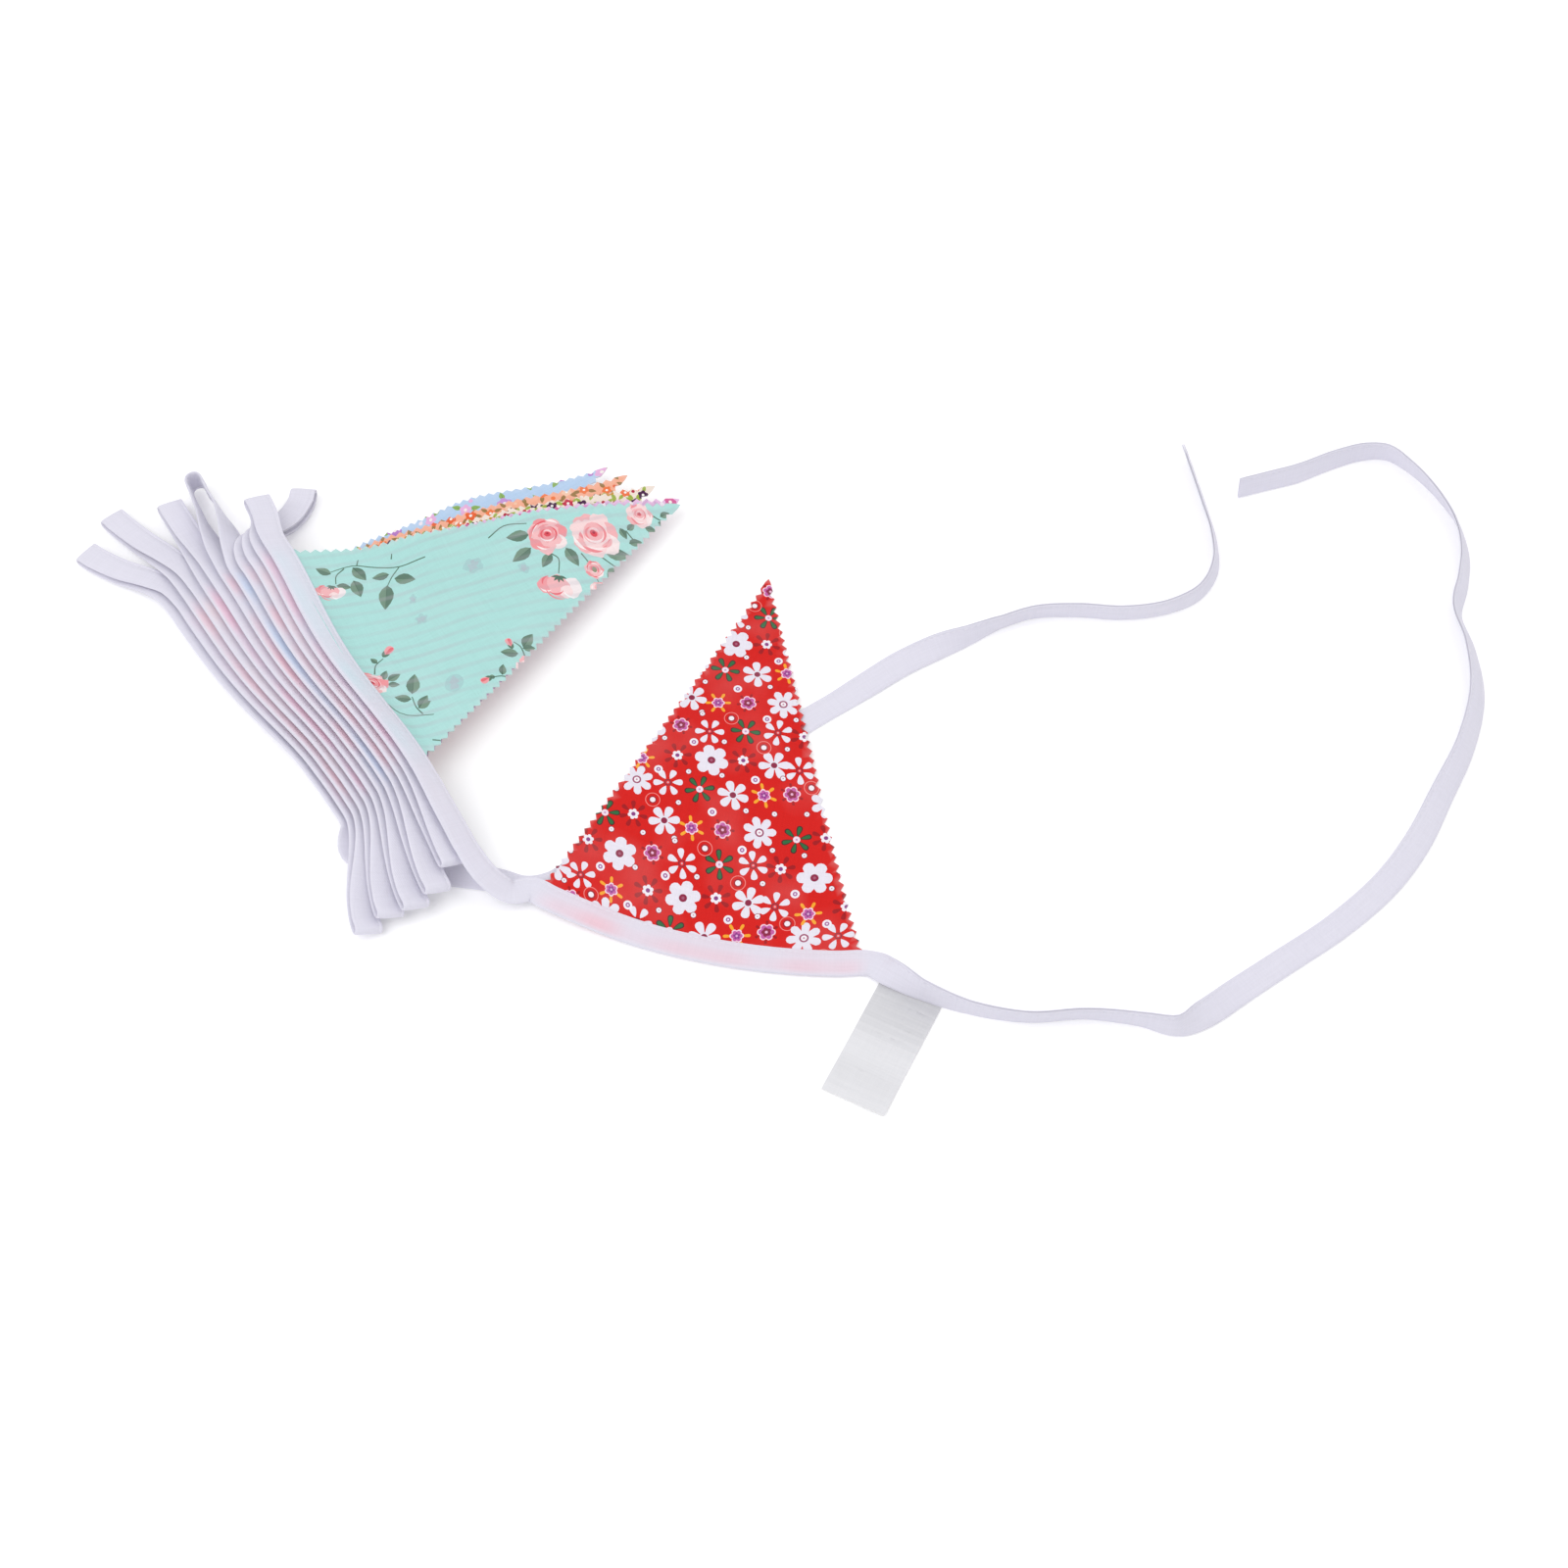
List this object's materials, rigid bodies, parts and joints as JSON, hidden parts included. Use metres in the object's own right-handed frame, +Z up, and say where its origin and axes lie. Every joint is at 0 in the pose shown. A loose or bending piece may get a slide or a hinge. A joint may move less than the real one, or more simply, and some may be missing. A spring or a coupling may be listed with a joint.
{
  "type": "fabric bunting",
  "caption": "String of small printed cotton triangles bound in a folded white tape, part folded to and fro in a bundle, with a tying tail at each end.",
  "frame": {"origin": "middle of the underside of the whole thing's bounding box, on the surface it lies on", "axes": "+X along the longest way, from the folded bundle toward the tails; +Y away from the viewer; +Z up"},
  "size_m": [0.6588, 0.3538, 0.0301],
  "materials": {
    "white_tape": "plain woven cotton bias tape, matte",
    "label_cotton": "smooth white ribbon, matte",
    "cotton_blue": "printed cotton, matte",
    "cotton_peach": "printed cotton, matte",
    "cotton_cream": "printed cotton, matte",
    "cotton_lilac": "printed cotton, matte",
    "cotton_mint": "printed cotton, matte",
    "cotton_red": "printed cotton, matte"
  },
  "bodies": {
    "root": {"tape": "white_tape", "label": "label_cotton", "pennant_01_blue": "cotton_blue", "pennant_02_peach": "cotton_peach", "pennant_03_cream": "cotton_cream", "pennant_04_lilac": "cotton_lilac", "pennant_05_mint": "cotton_mint", "pennant_06_red": "cotton_red", "pennant_07_blue": "cotton_blue", "pennant_08_peach": "cotton_peach", "pennant_09_cream": "cotton_cream", "pennant_10_lilac": "cotton_lilac", "pennant_11_mint": "cotton_mint", "pennant_12_red": "cotton_red"}
  },
  "joints": []
}
